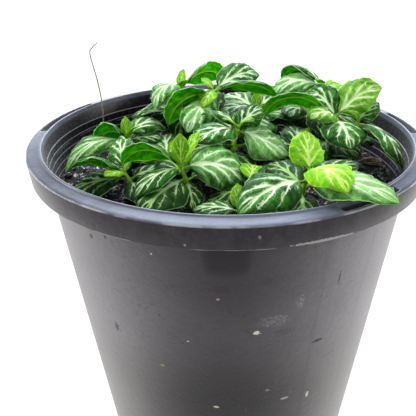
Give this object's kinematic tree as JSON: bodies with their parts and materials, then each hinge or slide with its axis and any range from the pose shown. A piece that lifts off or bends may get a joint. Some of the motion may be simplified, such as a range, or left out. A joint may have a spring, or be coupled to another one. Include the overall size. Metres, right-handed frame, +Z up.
{
  "type": "potted nerve plant",
  "caption": "Low mound of leafy nerve plant shoots with pale-veined leaves in a tapered black nursery pot with a skirted rim.",
  "frame": {"origin": "middle of the pot's foot ring, at ground level", "axes": "+Z up along the pot's axis; -Y towards the side that the picture is taken from; +X to the right as seen in the picture"},
  "size_m": [0.25, 0.25, 0.2637],
  "materials": {
    "pot_plastic": "black, satin, scuffed",
    "potting_mix": "damp, lumpy",
    "foliage": "waxy leaf with pale veins",
    "dry_stalk": "dry, matt",
    "bark": "rough bark"
  },
  "bodies": {
    "root": {"pot": "pot_plastic", "potting_mix": "potting_mix", "dry_stalk": "dry_stalk", "bark_chip": "bark", "shoot_01": "foliage", "shoot_02": "foliage", "shoot_03": "foliage", "shoot_04": "foliage", "shoot_05": "foliage", "shoot_06": "foliage", "shoot_07": "foliage", "shoot_08": "foliage", "shoot_09": "foliage", "shoot_10": "foliage", "shoot_11": "foliage", "shoot_12": "foliage", "shoot_13": "foliage", "shoot_14": "foliage", "shoot_15": "foliage", "shoot_16": "foliage", "shoot_17": "foliage"}
  },
  "joints": []
}
